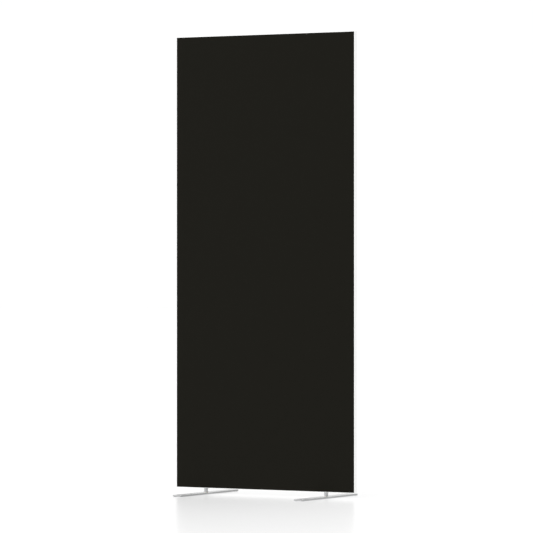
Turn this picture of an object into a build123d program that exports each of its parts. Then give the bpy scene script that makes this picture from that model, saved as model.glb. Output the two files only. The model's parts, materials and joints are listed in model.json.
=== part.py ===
from build123d import *

import os

# Office floor screen: a textile panel in a slim metal frame, standing on two flat feet.
# Lengths are in millimetres. X runs along the panel, Y from its front to its back, Z up.
# The origin lies on the floor, midway between the two feet.

# Panel
panel_width = 900.0
panel_height = 2000.0
panel_thickness = 22.0

# Frame profile: two textile grooves along its outer edge and a closed chamber further in
profile_wall = 1.4
profile_edge_radius = 0.3
groove_width = 3.2
groove_depth = 7.2
face_recess = 0.6
chamber_depth = 16.0
chamber_width = 12.0
mitre_cut_back = 0.1

# Corner brackets and their set screws
bracket_arm = 66.0
bracket_play = 0.2
bracket_corner_chamfer = 3.0
set_screw_diameter = 5.0
set_screw_length = 10.0
set_screw_socket = 2.5
set_screw_socket_depth = 3.0
access_play = 0.25
set_screw_shares = (0.3, 0.72)

# Crossbar, its angle brackets and their screws
crossbar_height = 30.0
crossbar_thickness = 14.8
crossbar_wall = 1.4
crossbar_inner_radius = 0.6
crossbar_end_gap = 0.2
angle_leg = 25.0
angle_width = 12.0
angle_thickness = 2.0
angle_bend_radius = 1.0
angle_screw_diameter = 4.0
angle_screw_length = 8.0
angle_screw_head_diameter = 7.4
angle_screw_head_height = 2.4
angle_screw_socket = 2.5
angle_screw_socket_depth = 1.3
angle_screw_shares = (0.38, 0.78)

# Textiles and the strips that lock them in the grooves
fabric_thickness = 0.5
groove_play = 0.1
skirt_end_gap = 0.4
strip_lead_chamfer = 0.6

# Feet
foot_inset = 146.0
foot_length = 495.0
foot_width = 50.0
foot_thickness = 6.0
foot_corner_radius = 8.0
foot_edge_chamfer = 0.6
pad_diameter = 12.0
pad_thickness = 1.0
pad_edge_chamfer = 0.3
pad_inset = 10.0
washer_thickness = 0.8

# Posts and what fastens them
post_diameter = 18.0
post_length = 18.0
post_edge_chamfer = 0.4
foot_screw_diameter = 8.0
foot_screw_length = 16.0
foot_screw_head_diameter = 16.0
foot_screw_recess = 0.3
foot_screw_socket = 5.0
foot_screw_socket_depth = 2.6
stud_diameter = 6.0
stud_proud = 1.0
stud_to_screw_gap = 0.8
slide_nut_length = 40.0
slide_nut_height = 8.0
slide_nut_play = 0.2

# Fits and cuts
thread_clearance = 0.05
running_clearance = 0.08
screw_hole_play = 0.3
overrun = 1.0

# Distance between the two feet
foot_spacing = panel_width - 2 * foot_inset

# Levels above the floor
plate_bottom = pad_thickness
plate_top = plate_bottom + foot_thickness
post_bottom = plate_top + washer_thickness
panel_bottom = post_bottom + post_length
panel_top = panel_bottom + panel_height
panel_middle = panel_bottom + panel_height / 2

# Depths in the profile, measured inwards from its outer face
shoulder_low = profile_wall + groove_width
shoulder_high = shoulder_low + profile_wall
chamber_high = shoulder_high + chamber_depth
profile_depth = chamber_high + profile_wall
skirt_low = profile_wall + groove_play
skirt_high = skirt_low + fabric_thickness
strip_high = shoulder_low - groove_play

# Distances from the panel's middle plane
face_seat = panel_thickness / 2 - face_recess
groove_floor = panel_thickness / 2 - groove_depth


def cylinder_up(radius, length):
    """A cylinder that stands on the local XY plane."""
    return extrude(Circle(radius), amount=length)


def cone_up(low_radius, high_radius):
    """A cone of 90 degrees that narrows upwards from the local XY plane."""
    height = low_radius - high_radius
    return Pos(0, 0, height / 2) * Cone(low_radius, high_radius, height)


def hex_socket(across_flats, depth):
    """The cut of a hexagon key, sunk into the local XY plane from above."""
    return extrude(RegularPolygon(across_flats / 2, 6, major_radius=False), amount=-depth)


def group(parts):
    """Several loose solids kept together as one sub-part."""
    return Compound([solid for part in parts for solid in part.solids()])


def band(width, low, high):
    """A rectangle across the panel's middle plane, between two depths of the profile."""
    return Pos(0, (low + high) / 2) * Rectangle(width, high - low)


def profile_section():
    """The profile's section: X runs across the panel's thickness, Y inwards from the outer face."""
    section = band(panel_thickness, 0, profile_wall)
    section += band(2 * groove_floor, 0, shoulder_high)
    section += band(2 * face_seat, shoulder_low, shoulder_high)
    section += band(chamber_width + 2 * profile_wall, shoulder_low, profile_depth)
    section -= band(2 * (groove_floor - profile_wall), profile_wall, shoulder_low)
    section -= band(chamber_width, shoulder_high, chamber_high)
    return fillet(section.vertices().group_by(Axis.Y)[0], profile_edge_radius)


def profile_bar(length):
    """A mitred length of profile along X, with its outer face on the local XY plane."""
    bar = extrude(Plane.YZ * profile_section(), amount=length / 2, both=True)
    for side in (-1, 1):
        mitre = Plane(origin=(side * (length / 2 - mitre_cut_back), 0, 0), z_dir=(-side, 0, -1))
        bar = split(bar, bisect_by=mitre, keep=Keep.TOP)
    return bar


def edge_frames():
    """Each edge of the panel: its length, and its place with X along it and Z inwards."""
    half_width = panel_width / 2
    return {
        "top": (panel_width, Pos(0, 0, panel_top) * Rot(0, 180, 0)),
        "bottom": (panel_width, Pos(0, 0, panel_bottom)),
        "left": (panel_height, Pos(-half_width, 0, panel_middle) * Rot(0, 90, 0)),
        "right": (panel_height, Pos(half_width, 0, panel_middle) * Rot(0, -90, 0)),
    }


def corner_frames():
    """Each corner of the panel, with both edges running away from it along X and Z."""
    half_width = panel_width / 2
    return {
        "top_left": Pos(-half_width, 0, panel_top) * Rot(0, 90, 0),
        "top_right": Pos(half_width, 0, panel_top) * Rot(0, 180, 0),
        "bottom_left": Pos(-half_width, 0, panel_bottom),
        "bottom_right": Pos(half_width, 0, panel_bottom) * Rot(0, -90, 0),
    }


def set_screw_seats():
    """The tips of a corner's four set screws, each with its axis running inwards along Z."""
    bracket_end = shoulder_high + bracket_play + bracket_arm
    seats = []
    for share in set_screw_shares:
        place = profile_depth + share * (bracket_end - profile_depth)
        seats.append(Pos(place, 0, shoulder_high))
        seats.append(Pos(shoulder_high, 0, place) * Rot(0, 90, 0))
    return seats


def corner_bracket():
    """A cast elbow that fills the chambers of the two profiles that meet at a corner."""
    low = shoulder_high + bracket_play
    high = chamber_high - bracket_play
    reach = low + bracket_arm
    outline = Polyline(
        (low, low), (reach, low), (reach, high), (high, high), (high, reach), (low, reach), close=True
    )
    width = chamber_width - 2 * bracket_play
    elbow = extrude(Plane.XZ * make_face(outline), amount=width / 2, both=True)
    outer_edge = elbow.edges().filter_by(Axis.Y).sort_by(lambda edge: edge.center().X + edge.center().Z)[0]
    elbow = chamfer(outer_edge, bracket_corner_chamfer)
    thread = cylinder_up(set_screw_diameter / 2 + thread_clearance, chamber_depth)
    return elbow - [seat * thread for seat in set_screw_seats()]


def set_screw():
    """A headless screw whose tip lies on the local XY plane and whose key socket faces up."""
    screw = cylinder_up(set_screw_diameter / 2, set_screw_length)
    return screw - Pos(0, 0, set_screw_length) * hex_socket(set_screw_socket, set_screw_socket_depth)


def corner_set_screws():
    """The set screws of all four corners."""
    corners = corner_frames().values()
    return group([corner * seat * set_screw() for corner in corners for seat in set_screw_seats()])


def access_holes():
    """The key holes through the profiles' inner walls, one over each set screw."""
    radius = set_screw_diameter / 2 + access_play
    hole = Pos(0, 0, chamber_depth - overrun) * cylinder_up(radius, profile_wall + 2 * overrun)
    corners = corner_frames().values()
    return [corner * seat * hole for corner in corners for seat in set_screw_seats()]


def angle_seats(side):
    """Where an angle bracket's screws go, head side up along Z, upright leg first."""
    end = side * (panel_width / 2 - profile_depth)
    under = panel_middle - crossbar_height / 2
    upright = []
    level = []
    for share in angle_screw_shares:
        place = share * angle_leg
        upright.append(Pos(end - side * angle_thickness, 0, under - place) * Rot(0, -side * 90, 0))
        level.append(Pos(end - side * place, 0, under - angle_thickness) * Rot(180, 0, 0))
    return upright, level


def angle_screw():
    """A pan head screw: the head stands on the local XY plane and the shank hangs below it."""
    head = cylinder_up(angle_screw_head_diameter / 2, angle_screw_head_height)
    shank = Pos(0, 0, -angle_screw_length) * cylinder_up(angle_screw_diameter / 2, angle_screw_length)
    socket = hex_socket(angle_screw_socket, angle_screw_socket_depth)
    return head + shank - Pos(0, 0, angle_screw_head_height) * socket


def angle_hole(clearance):
    """A hole for an angle bracket's screw, through whatever lies in its way."""
    radius = angle_screw_diameter / 2 + clearance
    return Pos(0, 0, -angle_screw_length) * cylinder_up(radius, angle_screw_length + overrun)


def crossbar_bracket(side):
    """A bent steel angle in the corner under one end of the crossbar."""
    end = panel_width / 2 - profile_depth
    under = panel_middle - crossbar_height / 2
    outline = Polyline(
        (end, under),
        (end - angle_leg, under),
        (end - angle_leg, under - angle_thickness),
        (end - angle_thickness, under - angle_thickness),
        (end - angle_thickness, under - angle_leg),
        (end, under - angle_leg),
        close=True,
    )
    section = make_face(outline)
    inside_bend = section.vertices().sort_by(lambda point: point.X + point.Y)[-2]
    section = fillet(inside_bend, angle_bend_radius)
    outside_bend = section.vertices().sort_by(lambda point: point.X + point.Y)[-1]
    section = fillet(outside_bend, angle_bend_radius + angle_thickness)
    angle = extrude(Plane.XZ * section, amount=angle_width / 2, both=True)
    if side < 0:
        angle = mirror(angle, about=Plane.YZ)
    upright, level = angle_seats(side)
    for seat in upright + level:
        angle -= seat * angle_hole(screw_hole_play)
    return angle


def crossbar():
    """The tube that spans the frame at mid height."""
    outer_radius = crossbar_inner_radius + crossbar_wall
    inner_thickness = crossbar_thickness - 2 * crossbar_wall
    inner_height = crossbar_height - 2 * crossbar_wall
    section = RectangleRounded(crossbar_thickness, crossbar_height, outer_radius)
    section -= RectangleRounded(inner_thickness, inner_height, crossbar_inner_radius)
    reach = panel_width / 2 - profile_depth - crossbar_end_gap
    tube = Pos(0, 0, panel_middle) * extrude(Plane.YZ * section, amount=reach, both=True)
    for side in (-1, 1):
        for seat in angle_seats(side)[1]:
            tube -= seat * angle_hole(thread_clearance)
    return tube


def crossbar_screws():
    """The screws of both angle brackets."""
    seats = [seat for side in (-1, 1) for leg in angle_seats(side) for seat in leg]
    return group([seat * angle_screw() for seat in seats])


def frame_profiles():
    """The four mitred profiles with their drilled holes."""
    bars = {name: place * profile_bar(length) for name, (length, place) in edge_frames().items()}
    for name in bars:
        bars[name] -= access_holes()
    for side, name in ((-1, "left"), (1, "right")):
        for seat in angle_seats(side)[0]:
            bars[name] -= seat * angle_hole(thread_clearance)
        hole = cylinder_up(stud_diameter / 2 + screw_hole_play, shoulder_high + 2 * overrun)
        bars["bottom"] -= Pos(side * foot_spacing / 2, 0, panel_bottom - overrun) * hole
    return {name + "_profile": bar for name, bar in bars.items()}


def front_fabric():
    """The front textile: a flat face with a skirt all round that folds back into the groove."""
    low = -(face_seat + fabric_thickness)
    high = -(groove_floor + skirt_end_gap)
    outside = Box(panel_width - 2 * skirt_low, high - low, panel_height - 2 * skirt_low)
    inside = Box(panel_width - 2 * skirt_high, high - low, panel_height - 2 * skirt_high)
    fabric = outside - Pos(0, fabric_thickness, 0) * inside
    return Pos(0, (low + high) / 2, panel_middle) * fabric


def front_strip(length):
    """A silicone strip along X that fills the front groove between the textile and the shoulder."""
    height = face_seat - groove_floor
    thickness = strip_high - skirt_high
    strip = Box(length, height, thickness)
    lead_edges = strip.edges().filter_by(Axis.X).group_by(Axis.Y)[-1]
    strip = chamfer(lead_edges, strip_lead_chamfer)
    return Pos(0, -(face_seat + groove_floor) / 2, (skirt_high + strip_high) / 2) * strip


def strips():
    """The strips of both textiles: long ones along the top and bottom, side ones between them."""
    nodes = {}
    for name, (edge_length, place) in edge_frames().items():
        end_inset = skirt_high if name in ("top", "bottom") else strip_high
        front = place * front_strip(edge_length - 2 * end_inset)
        nodes["front_strip_" + name] = front
        nodes["back_strip_" + name] = mirror(front, about=Plane.XZ)
    return nodes


def foot_plate():
    """A flat bar with rounded corners, lightly broken edges and one countersunk hole."""
    plate = extrude(RectangleRounded(foot_width, foot_length, foot_corner_radius), amount=foot_thickness)
    faces = plate.faces().filter_by(Axis.Z)
    plate = chamfer([edge for face in faces for edge in face.edges()], foot_edge_chamfer)
    shank_radius = foot_screw_diameter / 2 + running_clearance
    head_radius = foot_screw_head_diameter / 2 + running_clearance
    plate -= cylinder_up(shank_radius, foot_thickness)
    plate -= cylinder_up(head_radius, foot_screw_recess)
    plate -= Pos(0, 0, foot_screw_recess) * cone_up(head_radius, shank_radius)
    return Pos(0, 0, plate_bottom) * plate


def foot_screw():
    """The countersunk screw that the plate turns on, driven up into the post."""
    screw = cone_up(foot_screw_head_diameter / 2, foot_screw_diameter / 2)
    screw += cylinder_up(foot_screw_diameter / 2, foot_screw_length)
    screw -= Rot(180, 0, 0) * hex_socket(foot_screw_socket, foot_screw_socket_depth)
    return Pos(0, 0, plate_bottom + foot_screw_recess) * screw


def foot_pads():
    """Four rubber pads near the plate's corners."""
    pad = cylinder_up(pad_diameter / 2, pad_thickness)
    pad = chamfer(pad.edges().group_by(Axis.Z)[0], pad_edge_chamfer)
    across = foot_width / 2 - pad_inset
    along = foot_length / 2 - pad_inset
    return group([Pos(side * across, end * along, 0) * pad for side in (-1, 1) for end in (-1, 1)])


def foot_washer():
    """The nylon washer between the plate and the post."""
    ring = cylinder_up(post_diameter / 2, washer_thickness)
    ring -= cylinder_up(foot_screw_diameter / 2 + screw_hole_play, washer_thickness)
    return Pos(0, 0, plate_top) * ring


def screw_tip():
    """The level of the foot screw's tip inside the post."""
    return plate_bottom + foot_screw_recess + foot_screw_length


def post():
    """The round post, tapped from below for the foot screw and from above for the stud."""
    body = cylinder_up(post_diameter / 2, post_length)
    body = chamfer(body.edges().filter_by(GeomType.CIRCLE), post_edge_chamfer)
    screw_bore_depth = screw_tip() + stud_to_screw_gap / 2 - post_bottom
    body -= cylinder_up(foot_screw_diameter / 2 + thread_clearance, screw_bore_depth)
    body -= cylinder_up(stud_diameter / 2 + thread_clearance, post_length)
    return Pos(0, 0, post_bottom) * body


def slide_nut():
    """The tapped block that lies in the bottom profile's chamber over a post."""
    nut_bottom = panel_bottom + shoulder_high
    width = chamber_width - 2 * slide_nut_play
    block = extrude(Rectangle(slide_nut_length, width), amount=slide_nut_height)
    block -= cylinder_up(stud_diameter / 2 + thread_clearance, slide_nut_height)
    return Pos(0, 0, nut_bottom) * block


def stud():
    """The threaded rod that pulls the post up against the bottom profile."""
    low = screw_tip() + stud_to_screw_gap
    high = panel_bottom + shoulder_high + slide_nut_height + stud_proud
    return Pos(0, 0, low) * cylinder_up(stud_diameter / 2, high - low)


def foot_nodes():
    """Both feet, each with everything that fastens it to the panel."""
    nodes = {}
    for side, name in ((-1, "left"), (1, "right")):
        place = Pos(side * foot_spacing / 2, 0, 0)
        nodes[name + "_foot_plate"] = place * foot_plate()
        nodes[name + "_foot_pads"] = place * foot_pads()
        nodes[name + "_foot_screw"] = place * foot_screw()
        nodes[name + "_foot_washer"] = place * foot_washer()
        nodes[name + "_post"] = place * post()
        nodes[name + "_stud"] = place * stud()
        nodes[name + "_slide_nut"] = place * slide_nut()
    return nodes


def screen():
    """Every sub-part of the floor screen by name."""
    nodes = frame_profiles()
    for name, corner in corner_frames().items():
        nodes["corner_bracket_" + name] = corner * corner_bracket()
    nodes["corner_set_screws"] = corner_set_screws()
    nodes["crossbar"] = crossbar()
    nodes["crossbar_bracket_left"] = crossbar_bracket(-1)
    nodes["crossbar_bracket_right"] = crossbar_bracket(1)
    nodes["crossbar_screws"] = crossbar_screws()
    nodes["front_fabric"] = front_fabric()
    nodes["back_fabric"] = mirror(front_fabric(), about=Plane.XZ)
    nodes.update(strips())
    nodes.update(foot_nodes())
    return nodes


os.makedirs("parts", exist_ok=True)
for node, shape in screen().items():
    export_step(shape, "parts/" + node + ".step")
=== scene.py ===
# %% [markdown]
# # An office floor screen
# The real thing is a slim aluminium frame with a black knitted textile pulled flat over each face,
# standing on two flat steel feet. Its metal pieces come from the CAD model as they are and only need a
# finish. The textiles and the seams along their hems are made here, because cloth and thread have shapes
# that CAD solids only stand for. This first cell loads the fixed frame.

# %% Load the fixed frame
import json
import math
from functools import partial

import bpy
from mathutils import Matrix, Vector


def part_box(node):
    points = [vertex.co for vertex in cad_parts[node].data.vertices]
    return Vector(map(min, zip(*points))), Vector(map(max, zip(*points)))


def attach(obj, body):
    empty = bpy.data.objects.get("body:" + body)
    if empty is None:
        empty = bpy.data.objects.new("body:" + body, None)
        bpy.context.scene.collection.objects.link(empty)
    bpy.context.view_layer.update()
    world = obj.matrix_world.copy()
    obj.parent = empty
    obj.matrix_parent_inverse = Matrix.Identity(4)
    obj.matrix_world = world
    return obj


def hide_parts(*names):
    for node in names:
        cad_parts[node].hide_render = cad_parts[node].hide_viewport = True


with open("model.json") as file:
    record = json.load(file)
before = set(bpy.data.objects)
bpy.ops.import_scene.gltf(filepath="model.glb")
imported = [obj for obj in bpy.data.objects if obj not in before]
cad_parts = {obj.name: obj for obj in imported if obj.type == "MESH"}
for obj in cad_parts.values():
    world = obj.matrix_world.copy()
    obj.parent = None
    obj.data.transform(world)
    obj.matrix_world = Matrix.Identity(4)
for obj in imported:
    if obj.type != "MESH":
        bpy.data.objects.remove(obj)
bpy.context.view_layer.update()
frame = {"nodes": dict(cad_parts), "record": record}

MM = 0.001
scene = bpy.context.scene

# %% [markdown]
# ## The camera
# A product picture like this one is taken from far away with a long lens, so that the panel's edges stay
# almost parallel. A camera could be placed by eye, but two of its numbers then make up for each other's
# errors. The distance, the turn and the focal length were solved together instead, from the four edges of
# the textile and the ends of the feet. The camera looks level, and a hair of vertical shift puts the
# horizon on its own row of the picture.

# %% Place the camera
IMAGE_SIDE = 533.0
HORIZON_ROW = 266.7
FOCAL_PIXELS = 3677.8
SENSOR_WIDTH_MM = 36.0
CAMERA_TURN = math.radians(29.85)
CAMERA_DISTANCE = 16.142
CAMERA_ASIDE = 0.0051
CAMERA_HEIGHT = 1.006
CAMERA_REACH = 200.0

camera_data = bpy.data.cameras.new("camera")
camera_data.sensor_width = SENSOR_WIDTH_MM
camera_data.lens = FOCAL_PIXELS / IMAGE_SIDE * SENSOR_WIDTH_MM
camera_data.shift_y = (HORIZON_ROW - IMAGE_SIDE / 2) / IMAGE_SIDE
camera_data.clip_end = CAMERA_REACH
camera = bpy.data.objects.new("camera", camera_data)
camera.location = (
    CAMERA_ASIDE + CAMERA_DISTANCE * math.sin(CAMERA_TURN),
    -CAMERA_DISTANCE * math.cos(CAMERA_TURN),
    CAMERA_HEIGHT,
)
camera.rotation_euler = (math.pi / 2, 0, CAMERA_TURN)
scene.collection.objects.link(camera)
scene.camera = camera
print("focal length in mm:", round(camera_data.lens, 1))

# %% [markdown]
# ## Helpers for node trees
# Shaders and geometry are both made of nodes. `add_node` makes one, sets its options and fills its
# sockets, each with a plain value or with a link from another node. `calc` is the same for one sum, and
# `between` scales a value from one range to another and stops it at the ends. `split` takes a place apart
# into X, Y and Z, and `join` puts one together.

# %% Node helpers
def add_node(tree, kind, inputs=None, **settings):
    made = tree.nodes.new(kind)
    for name, value in settings.items():
        setattr(made, name, value)
    for key, value in (inputs or {}).items():
        if isinstance(value, bpy.types.NodeSocket):
            tree.links.new(value, made.inputs[key])
        else:
            made.inputs[key].default_value = value
    return made


def calc(tree, operation, *values):
    return add_node(tree, "ShaderNodeMath", dict(enumerate(values)), operation=operation).outputs[0]


def between(tree, value, start, end, to_start=0.0, to_end=1.0):
    ranges = {"From Min": start, "From Max": end, "To Min": to_start, "To Max": to_end}
    return add_node(tree, "ShaderNodeMapRange", {"Value": value, **ranges}).outputs["Result"]


def split(tree, place):
    return add_node(tree, "ShaderNodeSeparateXYZ", {0: place}).outputs


def join(tree, x=0.0, y=0.0, z=0.0):
    return add_node(tree, "ShaderNodeCombineXYZ", {0: x, 1: y, 2: z}).outputs[0]


# %% [markdown]
# ## A helper for node groups
# A group is a small tree that is built once and used in many places. Its sockets get names, so that
# each place can give it its own values.

# %% Group helper
NUMBER = "NodeSocketFloat"
COUNT = "NodeSocketInt"
VECTOR = "NodeSocketVector"
GEOMETRY = "NodeSocketGeometry"
MATERIAL = "NodeSocketMaterial"


def new_group(name, kind, inputs, outputs):
    """A node group, its given values and its results. Inputs are name: (socket type, value)."""
    group = bpy.data.node_groups.new(name, kind)
    for socket_name, (socket_type, value) in inputs.items():
        socket = group.interface.new_socket(socket_name, in_out="INPUT", socket_type=socket_type)
        if value is not None:
            socket.default_value = value
    for socket_name, socket_type in outputs.items():
        group.interface.new_socket(socket_name, in_out="OUTPUT", socket_type=socket_type)
    given = group.nodes.new("NodeGroupInput").outputs
    result = group.nodes.new("NodeGroupOutput").inputs
    return group, given, result


# %% [markdown]
# ## The light
# The picture has a pure white surround, which a studio gets from white walls lit evenly all round. Lit
# walls could be modelled, but a world of plain white gives the same light at once. It is a hair over full,
# so that no speck of it falls short. One broad lamp from the front and left adds the little more light that
# the end of a foot shows over its long side. It is so wide that it casts no edge of a shadow.

# %% White surround and soft front lamp
SURROUND_STRENGTH = 1.01
FRONT_LAMP_STRENGTH = 2.4
FRONT_LAMP_SPREAD = math.radians(100)
FRONT_LAMP_HEIGHT = math.radians(25)
FRONT_LAMP_TURN = math.radians(-35)

world = bpy.data.worlds.new("white_surround")
world.use_nodes = True
surround = world.node_tree.nodes["Background"].inputs
surround["Color"].default_value = (1, 1, 1, 1)
surround["Strength"].default_value = SURROUND_STRENGTH
scene.world = world
scene.view_settings.view_transform = "Standard"

lamp_data = bpy.data.lights.new("front_lamp", "SUN")
lamp_data.energy = FRONT_LAMP_STRENGTH
lamp_data.angle = FRONT_LAMP_SPREAD
lamp = bpy.data.objects.new("front_lamp", lamp_data)
lamp.rotation_euler = (math.pi / 2 - FRONT_LAMP_HEIGHT, 0, FRONT_LAMP_TURN)
scene.collection.objects.link(lamp)
print("lights:", [light.name for light in bpy.data.lights])

# %% [markdown]
# ## The floor
# The screen stands on a pale sheet lit from below, as on a photographer's light table, which is how a
# floor gets as white as the walls. A plain white floor under lamps would always come out a little grey.
# Where something stands within a few millimetres of the sheet, ambient occlusion dims its glow, so the
# feet are grounded. A faint gloss carries the panel's reflection. It is rough, because a satin sheet seen
# at a very low angle mirrors what is further away only as a soft shade. It dies away to the right and
# towards the front, by an even share of what is left with each metre. The underside of the sheet is clear,
# so that the feet can be looked at from below too.

# %% The floor's finish
FLOOR_GLOW = 0.82
CONTACT_GLOW = 0.5
FLOOR_DIFFUSE = 0.2
CONTACT_REACH = 4 * MM
GLOSS_IN_MIDDLE = 0.326
GLOSS_MOST = 0.36
GLOSS_LOSS_TO_RIGHT = 0.38
GLOSS_LOSS_TO_FRONT = 0.15
GLOSS_ROUGHNESS = 0.23


def object_place(tree):
    return add_node(tree, "ShaderNodeTexCoord").outputs["Object"]


def pale_floor():
    material = bpy.data.materials.new("pale_floor")
    material.use_nodes = True
    tree = material.node_tree
    tree.nodes.clear()
    do = partial(calc, tree)
    contact = add_node(tree, "ShaderNodeAmbientOcclusion", {"Distance": CONTACT_REACH}, samples=8)
    strength = between(tree, contact.outputs["AO"], 0.0, 1.0, CONTACT_GLOW, FLOOR_GLOW)
    glow = add_node(tree, "ShaderNodeEmission", {"Strength": strength})
    white_share = (FLOOR_DIFFUSE, FLOOR_DIFFUSE, FLOOR_DIFFUSE, 1)
    diffuse = add_node(tree, "ShaderNodeBsdfDiffuse", {"Color": white_share})
    lit = add_node(tree, "ShaderNodeAddShader", {0: glow.outputs[0], 1: diffuse.outputs[0]})
    gloss = add_node(tree, "ShaderNodeBsdfGlossy", {"Color": (1, 1, 1, 1), "Roughness": GLOSS_ROUGHNESS})
    right, back, _ = split(tree, object_place(tree))
    loss = do("MULTIPLY_ADD", right, -GLOSS_LOSS_TO_RIGHT, do("MULTIPLY", back, GLOSS_LOSS_TO_FRONT))
    share = do("MINIMUM", do("MULTIPLY", do("EXPONENT", loss), GLOSS_IN_MIDDLE), GLOSS_MOST)
    top_side = add_node(tree, "ShaderNodeMixShader", {0: share, 1: lit.outputs[0], 2: gloss.outputs[0]})
    clear = add_node(tree, "ShaderNodeBsdfTransparent")
    from_below = add_node(tree, "ShaderNodeNewGeometry").outputs["Backfacing"]
    sides = {0: from_below, 1: top_side.outputs[0], 2: clear.outputs[0]}
    one_sided = add_node(tree, "ShaderNodeMixShader", sides)
    add_node(tree, "ShaderNodeOutputMaterial", {"Surface": one_sided.outputs[0]})
    return material


# %% [markdown]
# The floor itself is one large face, a hair below the feet so that the two never share a plane. It
# belongs to the picture and not to the screen.

# %% Lay the floor
FLOOR_HALF_SIDE = 60.0
FLOOR_DROP = 0.2 * MM

corners = [(-1, -1), (1, -1), (1, 1), (-1, 1)]
floor_mesh = bpy.data.meshes.new("floor")
floor_mesh.from_pydata(
    [(x * FLOOR_HALF_SIDE, y * FLOOR_HALF_SIDE, -FLOOR_DROP) for x, y in corners], [], [(0, 1, 2, 3)]
)
floor_mesh.materials.append(pale_floor())
floor = bpy.data.objects.new("floor", floor_mesh)
scene.collection.objects.link(floor)
print("floor side in m:", 2 * FLOOR_HALF_SIDE)

# %% [markdown]
# ## Shared effect: grain
# No surface is quite even. Metals, plastics and thread all show a fine grain, which differs only in size
# and direction: a casting is grainy all ways, while an extrusion has lines along its length. A picture of
# each surface would do too, but it blurs close up and repeats from afar. One noise, whose grain size is
# given for each axis in metres, serves them all and does neither.

# %% Surface grain group
GRAIN_DARKEST = 0.3
GRAIN_LIGHTEST = 0.7


def noise(tree, place, detail, scale=1.0):
    values = {"Vector": place, "Scale": scale, "Detail": detail}
    return add_node(tree, "ShaderNodeTexNoise", values).outputs["Fac"]


def surface_grain_group():
    group, given, result = new_group(
        "surface_grain",
        "ShaderNodeTree",
        {"Grain Size": (VECTOR, (1 * MM, 1 * MM, 1 * MM)), "Detail": (NUMBER, 3.0)},
        {"Tone": NUMBER},
    )
    sizes = {0: object_place(group), 1: given["Grain Size"]}
    grains = add_node(group, "ShaderNodeVectorMath", sizes, operation="DIVIDE").outputs[0]
    pattern = noise(group, grains, given["Detail"])
    group.links.new(between(group, pattern, GRAIN_DARKEST, GRAIN_LIGHTEST), result["Tone"])
    return group


SURFACE_GRAIN = surface_grain_group()
print("made", SURFACE_GRAIN.name)

# %% [markdown]
# ## Shared effect: orange peel
# Powder coat is plastic dust that was melted in an oven. It never flows out quite flat, and leaves soft
# dimples one or two millimetres across with a finer tooth between them. They are far too shallow to be
# worth a mesh, so they are only a height for the light. Two noises of different size, added, give both. The
# white frame and the grey feet each use it in their own strength.

# %% Orange peel group
def orange_peel_group():
    group, given, result = new_group(
        "orange_peel",
        "ShaderNodeTree",
        {"Dimple Size": (NUMBER, 1.6 * MM), "Tooth Size": (NUMBER, 0.35 * MM), "Tooth Share": (NUMBER, 0.25)},
        {"Height": NUMBER, "Tone": NUMBER},
    )
    do = partial(calc, group)
    place = object_place(group)
    dimples = noise(group, place, 1.0, do("DIVIDE", 1.0, given["Dimple Size"]))
    tooth = noise(group, place, 2.0, do("DIVIDE", 1.0, given["Tooth Size"]))
    group.links.new(do("MULTIPLY_ADD", tooth, given["Tooth Share"], dimples), result["Height"])
    group.links.new(tooth, result["Tone"])
    return group


ORANGE_PEEL = orange_peel_group()
print("made", ORANGE_PEEL.name)

# %% [markdown]
# ## Shared effect: edge wear
# Edges lose their coat first, where hands and boxes rub. The wear could be painted on each piece by hand,
# but a mask that finds the edges by itself fits them all. The Bevel node gives the normal as if each edge
# were rounded, and where it differs from the true normal, an edge is near. A noise breaks the mask up, so
# that the wear comes and goes along the edge instead of drawing an even outline.

# %% Edge wear group
MATCH_ON_FLAT = 0.995
MATCH_ON_EDGE = 0.85
PATCH_RIM = 0.48
PATCH_MIDDLE = 0.62


def edge_wear_group():
    group, given, result = new_group(
        "edge_wear",
        "ShaderNodeTree",
        {"Width": (NUMBER, 0.5 * MM), "Amount": (NUMBER, 0.5), "Patch Size": (NUMBER, 12 * MM)},
        {"Mask": NUMBER},
    )
    do = partial(calc, group)
    rounded = add_node(group, "ShaderNodeBevel", {"Radius": given["Width"]}, samples=4).outputs[0]
    true_normal = add_node(group, "ShaderNodeNewGeometry").outputs["Normal"]
    match = add_node(group, "ShaderNodeVectorMath", {0: rounded, 1: true_normal}, operation="DOT_PRODUCT")
    near_edge = between(group, match.outputs["Value"], MATCH_ON_FLAT, MATCH_ON_EDGE)
    patches = noise(group, object_place(group), 4.0, do("DIVIDE", 1.0, given["Patch Size"]))
    worn = do("MULTIPLY", near_edge, between(group, patches, PATCH_RIM, PATCH_MIDDLE))
    group.links.new(do("MULTIPLY", worn, given["Amount"]), result["Mask"])
    return group


EDGE_WEAR = edge_wear_group()
print("made", EDGE_WEAR.name)

# %% [markdown]
# ## Shared effect: settled dust
# Dust lies on what faces up. It could be fine grains of its own, but from a step away it is only a paler
# and duller tone. The mask takes the upward part of the normal and breaks it with a soft noise. It stays
# faint, because the screen in the picture is new and clean.

# %% Settled dust group
STEEPEST_WITH_DUST = 0.5


def settled_dust_group():
    group, given, result = new_group(
        "settled_dust",
        "ShaderNodeTree",
        {"Amount": (NUMBER, 0.1), "Patch Size": (NUMBER, 30 * MM)},
        {"Mask": NUMBER},
    )
    do = partial(calc, group)
    normal = add_node(group, "ShaderNodeNewGeometry").outputs["Normal"]
    upward = split(group, normal)["Z"]
    drift = noise(group, object_place(group), 6.0, do("DIVIDE", 1.0, given["Patch Size"]))
    lying = do("MULTIPLY", between(group, upward, STEEPEST_WITH_DUST, 1.0), drift)
    group.links.new(do("MULTIPLY", lying, given["Amount"]), result["Mask"])
    return group


SETTLED_DUST = settled_dust_group()
print("made", SETTLED_DUST.name)

# %% [markdown]
# ## Helpers for materials
# Each material starts as a Principled shader. A number that is the same all over the surface goes
# straight on the shader's socket. What changes over the surface comes from the groups, by link.

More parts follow.
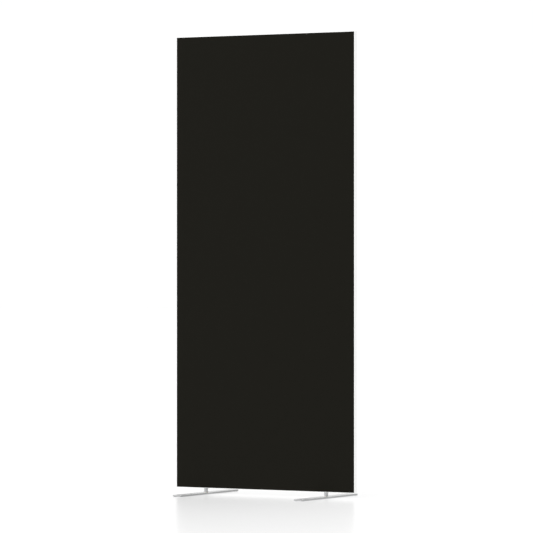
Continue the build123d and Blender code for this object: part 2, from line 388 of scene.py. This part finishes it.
# %% Material helpers
def new_material(name, **numbers):
    material = bpy.data.materials.new(name)
    material.use_nodes = True
    sockets = material.node_tree.nodes["Principled BSDF"].inputs
    for socket, value in numbers.items():
        sockets[socket.replace("_", " ")].default_value = value
    return material, material.node_tree, sockets


def place_group(tree, group, values=None):
    return add_node(tree, "ShaderNodeGroup", values, node_tree=group).outputs


def mix_colors(tree, share, first, second):
    return add_node(tree, "ShaderNodeMix", {0: share, 6: first, 7: second}, data_type="RGBA").outputs[2]


def shade(color, share):
    return tuple(share * part for part in color[:3]) + (1,)


def add_bump(tree, sockets, height, distance, strength=1.0):
    values = {"Height": height, "Distance": distance, "Strength": strength}
    tree.links.new(add_node(tree, "ShaderNodeBump", values).outputs["Normal"], sockets["Normal"])


# %% [markdown]
# ## Powder coats
# The frame is white and the feet are silver grey. The posts take the feet's coat made a shade lighter, which
# is painted light: it brightens them as more light on them would. All are the same process, so one function
# makes each from its own colour, gloss and wear. Worn edges show grey primer on the frame and bare steel on
# the feet. The feet also have a clear coat over the silver, which is why their flat tops look so light at the
# camera's low angle: they mirror the white beyond them.

# %% White and grey powder coats
DUST_COLOR = (0.55, 0.53, 0.5, 1)
DUST_AMOUNT = 0.12
DUST_ROUGHNESS = 0.8
DIMPLE_SHADE = 0.96
DIMPLE_ROUGHNESS = 0.08
PRIMER_GREY = (0.6, 0.6, 0.6, 1)
BARE_STEEL = (0.42, 0.41, 0.4, 1)


def powder_coat(name, color, roughness, dimple_depth, wear, worn_color, worn_to_metal=False, **numbers):
    material, tree, sockets = new_material(name, **numbers)
    do = partial(calc, tree)
    peel = place_group(tree, ORANGE_PEEL)
    worn = place_group(tree, EDGE_WEAR, {"Amount": wear})["Mask"]
    dust = place_group(tree, SETTLED_DUST, {"Amount": DUST_AMOUNT})["Mask"]
    coat = mix_colors(tree, peel["Tone"], shade(color, DIMPLE_SHADE), color)
    dusty = mix_colors(tree, dust, coat, DUST_COLOR)
    tree.links.new(mix_colors(tree, worn, dusty, worn_color), sockets["Base Color"])
    uneven = do("MULTIPLY_ADD", peel["Tone"], DIMPLE_ROUGHNESS, roughness)
    tree.links.new(do("MULTIPLY_ADD", dust, DUST_ROUGHNESS, uneven), sockets["Roughness"])
    if worn_to_metal:
        tree.links.new(worn, sockets["Metallic"])
    add_bump(tree, sockets, peel["Height"], dimple_depth)
    return material


WHITE_COAT = {"roughness": 0.38, "dimple_depth": 0.02 * MM, "wear": 0.25, "worn_color": PRIMER_GREY}
SILVER_COAT = {
    "roughness": 0.3,
    "dimple_depth": 0.03 * MM,
    "wear": 0.5,
    "worn_color": BARE_STEEL,
    "worn_to_metal": True,
    "Coat_Weight": 0.72,
    "Coat_Roughness": 0.14,
}
FINISHES = {
    "frame": powder_coat("white_powder_coat", (0.88, 0.88, 0.87, 1), **WHITE_COAT),
    "foot": powder_coat("grey_powder_coat", (0.33, 0.334, 0.338, 1), **SILVER_COAT),
    # painted light: the posts' coat is the feet's coat made lighter
    "post": powder_coat("grey_powder_coat_painted_lighter", (0.4, 0.404, 0.408, 1), **SILVER_COAT),
}
print("coats:", [finish.name for finish in FINISHES.values()])

# %% [markdown]
# ## Metals, plastics and thread
# Inside the frame there are zinc-plated screws and nuts, cast zinc elbows and a plain extruded crossbar.
# The pads are matt black rubber, the strips in the grooves milky silicone and the washers waxy nylon. They
# differ in colour, gloss and grain, so one function makes them all. The crossbar's grain is long along X,
# because the die that it was pressed through leaves lines along its length.

# %% Grained finishes
GRAIN_SHADE = 0.85
GRAIN_ROUGHNESS = 0.15


def grained(name, color, roughness, grain_size, grain_depth, **numbers):
    material, tree, sockets = new_material(name, **numbers)
    tone = place_group(tree, SURFACE_GRAIN, {"Grain Size": grain_size})["Tone"]
    tree.links.new(mix_colors(tree, tone, shade(color, GRAIN_SHADE), color), sockets["Base Color"])
    tree.links.new(calc(tree, "MULTIPLY_ADD", tone, GRAIN_ROUGHNESS, roughness), sockets["Roughness"])
    add_bump(tree, sockets, tone, grain_depth)
    return material


def even_grain(size):
    return (size, size, size)


# %% [markdown]
# The table below gives each finish its name, its colour, its roughness, the size and depth of its grain,
# and what else its shader needs. Light goes a little way into silicone and nylon, which makes them milky.

# %% The finishes themselves
DIE_LINES = (50 * MM, 0.25 * MM, 0.25 * MM)
METAL = {"Metallic": 1.0}
MILKY = {"Subsurface_Weight": 0.3, "Subsurface_Scale": 1 * MM}
GRAINED = {
    "zinc_plated_steel": (
        "zinc_plating", (0.62, 0.64, 0.66, 1), 0.22, even_grain(2.5 * MM), 0.005 * MM, METAL
    ),
    "cast_zinc": ("cast_zinc", (0.45, 0.45, 0.46, 1), 0.45, even_grain(0.7 * MM), 0.05 * MM, METAL),
    "mill_aluminium": ("plain_aluminium", (0.75, 0.76, 0.77, 1), 0.3, DIE_LINES, 0.01 * MM, METAL),
    "pad_rubber": ("pad_rubber", (0.03, 0.03, 0.03, 1), 0.75, even_grain(0.4 * MM), 0.04 * MM, {}),
    "silicone": ("milky_silicone", (0.75, 0.76, 0.74, 1), 0.4, even_grain(1.5 * MM), 0.01 * MM, MILKY),
    "nylon": ("natural_nylon", (0.78, 0.77, 0.72, 1), 0.35, even_grain(0.8 * MM), 0.01 * MM, MILKY),
}
for slot, (*look, numbers) in GRAINED.items():
    FINISHES[slot] = grained(*look, **numbers)
BLACK_THREAD = grained("black_thread", (0.012, 0.012, 0.012, 1), 0.7, even_grain(0.08 * MM), 0.01 * MM)
print("finishes so far:", len(FINISHES))

# %% [markdown]
# ## The knit
# Display textiles are warp-knitted: columns of loops run from top to bottom, a little over half a
# millimetre apart, and each loop is a small V. Millions of loops are too many to model, and a picture of
# them would blur. The height of a loop follows from two simple waves instead: one across the columns, and
# one along them that slides half a loop from the middle of a column to its edge. The pattern reads the
# cloth's own flat coordinates, in metres, so it runs on over the rolled edge without stretching. Yarns are
# never quite even, so a noise drawn out along the columns gives faint streaks.

# %% Knit group
LOOP_RELIEF = 0.35


def warp_knit_group():
    group, given, result = new_group(
        "warp_knit",
        "ShaderNodeTree",
        {
            "Column Width": (NUMBER, 0.62 * MM),
            "Loop Length": (NUMBER, 0.5 * MM),
            "Streak Width": (NUMBER, 6 * MM),
            "Streak Length": (NUMBER, 80 * MM),
        },
        {"Height": NUMBER, "Streaks": NUMBER, "Gap Shade": NUMBER},
    )
    do = partial(calc, group)
    across, along, _ = split(group, add_node(group, "ShaderNodeUVMap", uv_map="flat").outputs["UV"])
    in_column = do("PINGPONG", do("DIVIDE", across, given["Column Width"]), 0.5)
    rib = do("SINE", do("MULTIPLY", in_column, math.pi))
    slide = do("ADD", do("DIVIDE", along, given["Loop Length"]), in_column)
    loop = do("SINE", do("MULTIPLY", slide, 2 * math.pi))
    height = do("MULTIPLY", rib, do("MULTIPLY_ADD", loop, LOOP_RELIEF, 1.0 - LOOP_RELIEF))
    group.links.new(height, result["Height"])
    # painted shade: where the loops are low, between them, this mask darkens the colour
    group.links.new(do("SUBTRACT", 1.0, height), result["Gap Shade"])
    across_streaks = do("DIVIDE", across, given["Streak Width"])
    along_streaks = do("DIVIDE", along, given["Streak Length"])
    streaks = noise(group, join(group, across_streaks, along_streaks), 3.0)
    group.links.new(streaks, result["Streaks"])
    return group


WARP_KNIT = warp_knit_group()
print("made", WARP_KNIT.name)

# %% [markdown]
# ## Black textile
# The yarn is dyed a warm near-black. Between the loops the colour is darkened further, as painted shade
# for the hollows there, which the small bump alone hardly shows. A trace of sheen stands for the fibres that
# catch light at a low angle. The mirror share is kept very low, because a knit has no skin that could shine.

# %% Black knitted textile
DARKER_YARN = (0.0107, 0.0101, 0.007, 1)
LIGHTER_YARN = (0.013, 0.0122, 0.0086, 1)
# painted shade for the hollows between the loops
LOOP_GAP_SHADE = (0.0035, 0.0032, 0.0023, 1)
LOOP_HEIGHT = 0.08 * MM
LOOP_BUMP = 0.8


def black_textile():
    material, tree, sockets = new_material(
        "black_textile", Roughness=0.85, Specular_IOR_Level=0.05, Sheen_Weight=0.01, Sheen_Roughness=0.5
    )
    knit = place_group(tree, WARP_KNIT)
    yarn = mix_colors(tree, knit["Streaks"], DARKER_YARN, LIGHTER_YARN)
    tree.links.new(mix_colors(tree, knit["Gap Shade"], yarn, LOOP_GAP_SHADE), sockets["Base Color"])
    add_bump(tree, sockets, knit["Height"], LOOP_HEIGHT, LOOP_BUMP)
    return material


FINISHES["fabric"] = black_textile()
print("finishes:", sorted(FINISHES))

# %% [markdown]
# ## The textile's rule
# Each textile is cut flat, larger than the frame's opening, with a silicone strip sewn along its edge.
# The strip is pushed into the groove and drags the cloth over a small round edge and down. So the mounted
# shape follows one rule along both of its directions, counted in steps from the cut edge: up the hem,
# round the roll, then flat to the middle. It could be modelled by hand, but as a rule in Geometry Nodes
# the roll is even on all four sides and the corners mitre themselves.

# %% One direction of the rule
def rim_rule_group():
    """Where a step of the grid lies: its place from the middle, its depth and its place in the flat cut."""
    group, given, result = new_group(
        "rim_rule",
        "GeometryNodeTree",
        {
            "Share": (NUMBER, 0.0),
            "Steps": (NUMBER, 40.0),
            "Roll Steps": (NUMBER, 6.0),
            "Half Size": (NUMBER, 0.45),
            "Roll Radius": (NUMBER, 1.2 * MM),
            "Hem Depth": (NUMBER, 7.5 * MM),
        },
        {"Place": NUMBER, "Depth": NUMBER, "Flat Place": NUMBER},
    )
    do = partial(calc, group)
    radius = given["Roll Radius"]
    side = do("SIGN", given["Share"])
    from_edge = do("SUBTRACT", 0.5, do("ABSOLUTE", given["Share"]))
    step = do("MULTIPLY", from_edge, given["Steps"])
    past_hem = do("SUBTRACT", step, 1.0)
    roll_end = given["Roll Steps"]
    flat_end = do("SUBTRACT", do("MULTIPLY", given["Steps"], 0.5), 1.0)
    turn = between(group, past_hem, 0.0, roll_end, 0.0, math.pi / 2)
    still_flat = between(group, past_hem, roll_end, flat_end, 1.0, 0.0)

    roll_center = do("SUBTRACT", given["Half Size"], radius)
    on_roll = do("MULTIPLY", do("COSINE", turn), radius)
    place = do("MULTIPLY_ADD", roll_center, still_flat, on_roll)
    group.links.new(do("MULTIPLY", place, side), result["Place"])

    at_cut_edge = do("LESS_THAN", step, 0.5)
    hem = do("MULTIPLY", at_cut_edge, do("SUBTRACT", given["Hem Depth"], radius))
    below_face = do("MULTIPLY", do("SUBTRACT", 1.0, do("SINE", turn)), radius)
    group.links.new(do("ADD", below_face, hem), result["Depth"])

    arc_left = do("MULTIPLY", do("SUBTRACT", math.pi / 2, turn), radius)
    flat_place = do("MULTIPLY_ADD", roll_center, still_flat, do("ADD", arc_left, hem))
    group.links.new(do("MULTIPLY", flat_place, side), result["Flat Place"])
    return group


RIM_RULE = rim_rule_group()
print("made", RIM_RULE.name)

# %% [markdown]
# ## How each tree ends
# Every tree here ends in the same three nodes: the shading is set to smooth, instances become real mesh,
# and the material is put on. Without them the object would look right here, but an export of its mesh
# would come out empty or bare.

# %% The end of a tree
def finish_tree(group, geometry, material, result):
    smooth = add_node(group, "GeometryNodeSetShadeSmooth", {"Geometry": geometry})
    real = add_node(group, "GeometryNodeRealizeInstances", {"Geometry": smooth.outputs[0]})
    values = {"Geometry": real.outputs[0], "Material": material}
    group.links.new(add_node(group, "GeometryNodeSetMaterial", values).outputs[0], result)


# %% [markdown]
# ## The textile's tree
# A grid of unit size gives the steps, and the rule moves each of its points. Where two edges meet, the
# deeper of the two depths holds, which is what a mitre is. Each point's place in the flat cut is stored as
# a UV map, so the knit knows where it is on the cloth. At the tip of each corner three points of the grid
# come to lie on one spot, so they are merged into one.

# %% Stretched textile tree
MERGE_DISTANCE = 0.01 * MM


def stretched_textile_tree():
    group, given, result = new_group(
        "stretched_textile",
        "GeometryNodeTree",
        {
            "Width": (NUMBER, 0.9),
            "Height": (NUMBER, 2.0),
            "Middle Height": (NUMBER, 1.0),
            "Face Level": (NUMBER, 12 * MM),
            "Side": (NUMBER, -1.0),
            "Roll Radius": (NUMBER, 1.2 * MM),
            "Hem Depth": (NUMBER, 7.5 * MM),
            "Roll Steps": (NUMBER, 6.0),
            "Columns": (COUNT, 40),
            "Rows": (COUNT, 72),
            "Material": (MATERIAL, None),
        },
        {"Geometry": GEOMETRY},
    )
    do = partial(calc, group)
    grid_values = {
        "Size X": 1.0,
        "Size Y": 1.0,
        "Vertices X": do("ADD", given["Columns"], 1.0),
        "Vertices Y": do("ADD", given["Rows"], 1.0),
    }
    grid = add_node(group, "GeometryNodeMeshGrid", grid_values).outputs["Mesh"]
    share_across, share_up, _ = split(group, add_node(group, "GeometryNodeInputPosition").outputs[0])

    def follow_rule(share, steps, size):
        values = {name: given[name] for name in ("Roll Steps", "Roll Radius", "Hem Depth")}
        values.update({"Share": share, "Steps": steps, "Half Size": do("MULTIPLY", size, 0.5)})
        return add_node(group, "GeometryNodeGroup", values, node_tree=RIM_RULE).outputs

    across = follow_rule(share_across, given["Columns"], given["Width"])
    up = follow_rule(share_up, given["Rows"], given["Height"])
    depth = do("MAXIMUM", across["Depth"], up["Depth"])
    place = join(
        group,
        do("MULTIPLY", across["Place"], do("MULTIPLY", given["Side"], -1.0)),
        do("MULTIPLY", do("SUBTRACT", given["Face Level"], depth), given["Side"]),
        do("ADD", up["Place"], given["Middle Height"]),
    )
    flat_place = join(group, across["Flat Place"], up["Flat Place"])
    flat_values = {"Geometry": grid, "Name": "flat", "Value": flat_place}
    marked = add_node(
        group, "GeometryNodeStoreNamedAttribute", flat_values, data_type="FLOAT2", domain="CORNER"
    )
    moved = add_node(group, "GeometryNodeSetPosition", {"Geometry": marked.outputs[0], "Position": place})
    merge_values = {"Geometry": moved.outputs[0], "Distance": MERGE_DISTANCE}
    merged = add_node(group, "GeometryNodeMergeByDistance", merge_values)
    finish_tree(group, merged.outputs[0], given["Material"], result["Geometry"])
    return group


STRETCHED_TEXTILE = stretched_textile_tree()
print("made", STRETCHED_TEXTILE.name)

# %% [markdown]
# ## Running a tree
# A modifier's inputs are set by each socket's identifier, before the object is looked at for the first
# time. The result becomes a plain mesh, and the modifier goes away with the object that carried it.

# %% Turn a tree into a mesh
def run_tree(tree, name, values):
    carrier = bpy.data.objects.new("carrier", bpy.data.meshes.new("carrier"))
    scene.collection.objects.link(carrier)
    modifier = carrier.modifiers.new("tree", "NODES")
    modifier.node_group = tree
    for socket in tree.interface.items_tree:
        if socket.in_out == "INPUT" and socket.name in values:
            modifier[socket.identifier] = values[socket.name]
    ready = carrier.evaluated_get(bpy.context.evaluated_depsgraph_get())
    mesh = bpy.data.meshes.new_from_object(ready)
    bpy.data.objects.remove(carrier)
    mesh.name = name
    made = bpy.data.objects.new(name, mesh)
    scene.collection.objects.link(made)
    print(name, "has", len(mesh.polygons), "faces")
    return made


# %% [markdown]
# ## Front and back textile
# Both faces carry the same cloth, and its size comes from the CAD solid that stands for it. A Solidify
# modifier gives the sheet its real thickness, inwards, so that its outer side stays just below the metal
# lip. Edges sharper than the crease angle stay crisp, which keeps the mitred corners, while the roll's
# shallow steps are smooth.

# %% Make both textiles
CLOTH_THICKNESS = 0.4 * MM
ROLL_RADIUS = 1.2 * MM
CREASE_ANGLE = math.radians(35)
SIDES = {"front": -1.0, "back": 1.0}


def make_textile(face):
    low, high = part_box(face + "_fabric")
    width, hem_depth, height = high - low
    values = {
        "Width": width,
        "Height": height,
        "Middle Height": (low.z + high.z) / 2,
        "Face Level": max(-low.y, high.y),
        "Side": SIDES[face],
        "Roll Radius": ROLL_RADIUS,
        "Hem Depth": hem_depth,
        "Material": FINISHES["fabric"],
    }
    textile = run_tree(STRETCHED_TEXTILE, face + "_textile", values)
    textile.data.set_sharp_from_angle(angle=CREASE_ANGLE)
    solidify = textile.modifiers.new("thickness", "SOLIDIFY")
    solidify.thickness = CLOTH_THICKNESS
    solidify.offset = -1.0
    solidify.use_even_offset = True
    return textile


textiles = {face: make_textile(face) for face in SIDES}

# %% [markdown]
# ## The seams
# A lockstitch holds each strip to its hem. On both sides it shows as a row of short threads, each pulled
# into the material at its ends. A line drawn on the cloth would be enough for a picture, but real threads
# are also there in the mesh. One thread is a shallow curve with a three-sided section, because
# there are well over a thousand stitches in each textile, and a row of points along the edge repeats it.

# %% One row of stitches
THREAD_STEPS = 4
THREAD_SIDES = 3


def stitch_row_group():
    """Stitches along X, with the cloth's outer side at Z = 0 and the strip's inner side at Through."""
    group, given, result = new_group(
        "stitch_row",
        "GeometryNodeTree",
        {
            "Length": (NUMBER, 1.0),
            "Pitch": (NUMBER, 4 * MM),
            "Thread Radius": (NUMBER, 0.07 * MM),
            "Bow": (NUMBER, 0.02 * MM),
            "Through": (NUMBER, 3 * MM),
        },
        {"Geometry": GEOMETRY},
    )
    do = partial(calc, group)
    point = partial(join, group)
    count = do("FLOOR", do("DIVIDE", given["Length"], given["Pitch"]))
    half_pitch = do("MULTIPLY", given["Pitch"], 0.5)
    first = do("MULTIPLY", do("SUBTRACT", 1.0, count), half_pitch)
    line = {"Count": count, "Start Location": point(first), "Offset": point(given["Pitch"])}
    points = add_node(group, "GeometryNodeMeshLine", line, mode="OFFSET")

    sunk = given["Thread Radius"]
    curve = {
        "Resolution": THREAD_STEPS,
        "Start": point(do("MULTIPLY", half_pitch, -1.0), z=sunk),
        "Middle": point(z=do("MULTIPLY_ADD", given["Bow"], -2.0, do("MULTIPLY", sunk, -1.0))),
        "End": point(half_pitch, z=sunk),
    }
    arc = add_node(group, "GeometryNodeCurveQuadraticBezier", curve).outputs[0]
    circle = {"Resolution": THREAD_SIDES, "Radius": sunk}
    section = add_node(group, "GeometryNodeCurvePrimitiveCircle", circle)
    tube = {"Curve": arc, "Profile Curve": section.outputs[0], "Fill Caps": True}
    outer = add_node(group, "GeometryNodeCurveToMesh", tube).outputs[0]
    to_strip = {"Geometry": outer, "Translation": point(z=given["Through"]), "Rotation": (math.pi, 0, 0)}
    inner = add_node(group, "GeometryNodeTransform", to_strip).outputs[0]
    stitch = add_node(group, "GeometryNodeJoinGeometry")
    for thread in (outer, inner):
        group.links.new(thread, stitch.inputs[0])
    copies = {"Points": points.outputs[0], "Instance": stitch.outputs[0]}
    row = add_node(group, "GeometryNodeInstanceOnPoints", copies)
    group.links.new(row.outputs[0], result["Geometry"])
    return group


STITCH_ROW = stitch_row_group()
print("made", STITCH_ROW.name)

# %% [markdown]
# The seam is four such rows, one along each edge. Each is turned about Y, so that its Z points to the
# panel's middle, and moved out to its edge. The table gives each edge its turn, the way it lies from the
# middle along X and Z, and the size of the panel that it runs along.

# %% The seam's tree
EDGES = {
    "bottom": (0.0, 0, -1, "Width"),
    "top": (math.pi, 0, 1, "Width"),
    "left": (math.pi / 2, -1, 0, "Height"),
    "right": (-math.pi / 2, 1, 0, "Height"),
}


def strip_seam_tree():
    group, given, result = new_group(
        "strip_seam",
        "GeometryNodeTree",
        {
            "Width": (NUMBER, 0.9),
            "Height": (NUMBER, 2.0),
            "Middle Height": (NUMBER, 1.0),
            "Level": (NUMBER, 8 * MM),
            "Corner Gap": (NUMBER, 8 * MM),
            "Pitch": (NUMBER, 4 * MM),
            "Through": (NUMBER, 3 * MM),
            "Material": (MATERIAL, None),
        },
        {"Geometry": GEOMETRY},
    )
    do = partial(calc, group)
    rows = add_node(group, "GeometryNodeJoinGeometry")
    for turn, aside, up, along in EDGES.values():
        length = do("SUBTRACT", given[along], do("MULTIPLY", given["Corner Gap"], 2.0))
        values = {"Length": length, "Pitch": given["Pitch"], "Through": given["Through"]}
        row = add_node(group, "GeometryNodeGroup", values, node_tree=STITCH_ROW)
        place = join(
            group,
            do("MULTIPLY", given["Width"], aside / 2),
            given["Level"],
            do("MULTIPLY_ADD", given["Height"], up / 2, given["Middle Height"]),
        )
        move = {"Geometry": row.outputs[0], "Translation": place, "Rotation": (0, turn, 0)}
        group.links.new(add_node(group, "GeometryNodeTransform", move).outputs[0], rows.inputs[0])
    finish_tree(group, rows.outputs[0], given["Material"], result["Geometry"])
    return group


STRIP_SEAM = strip_seam_tree()
print("made", STRIP_SEAM.name)

# %% [markdown]
# The seam runs along the middle of the strip, through the strip and the hem, so both of its levels are
# taken from their CAD solids.

# %% Sew both seams
def make_seam(face):
    low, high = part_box(face + "_fabric")
    strip_low, strip_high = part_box(face + "_strip_top")
    values = {
        "Width": high.x - low.x,
        "Height": high.z - low.z,
        "Middle Height": (low.z + high.z) / 2,
        "Level": (strip_low.y + strip_high.y) / 2,
        "Through": high.z - strip_low.z,
        "Material": BLACK_THREAD,
    }
    return run_tree(STRIP_SEAM, face + "_seam", values)


seams = {face: make_seam(face) for face in SIDES}

# %% [markdown]
# ## What rides on what
# Both textiles and their seams are hung on the frame's body. Each textile stands for its CAD solid, which
# is hidden. The size that the cloth was cut to is the flat part, a quarter circle for each roll and the
# straight hems.


for face, textile in textiles.items():
    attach(textile, "frame")
    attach(seams[face], "frame")
    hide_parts(face + "_fabric")

# %% [markdown]
# ## Finishes on the CAD pieces
# The record says which finish each piece has. Each CAD mesh gets that material in its slot. Only the posts
# take a lighter copy of the feet's coat, as painted light, and the record counts them with the feet.

# %% Dress the CAD pieces
for part in frame["record"]["subparts"]:
    piece = frame["nodes"][part["node"]]
    # painted light: the posts get the lighter copy of the feet's coat
    slot = "post" if part["node"].endswith("_post") else part["material_slot"]
    piece.data.materials.clear()
    piece.data.materials.append(FINISHES[slot])
print("dressed pieces:", len(frame["nodes"]))
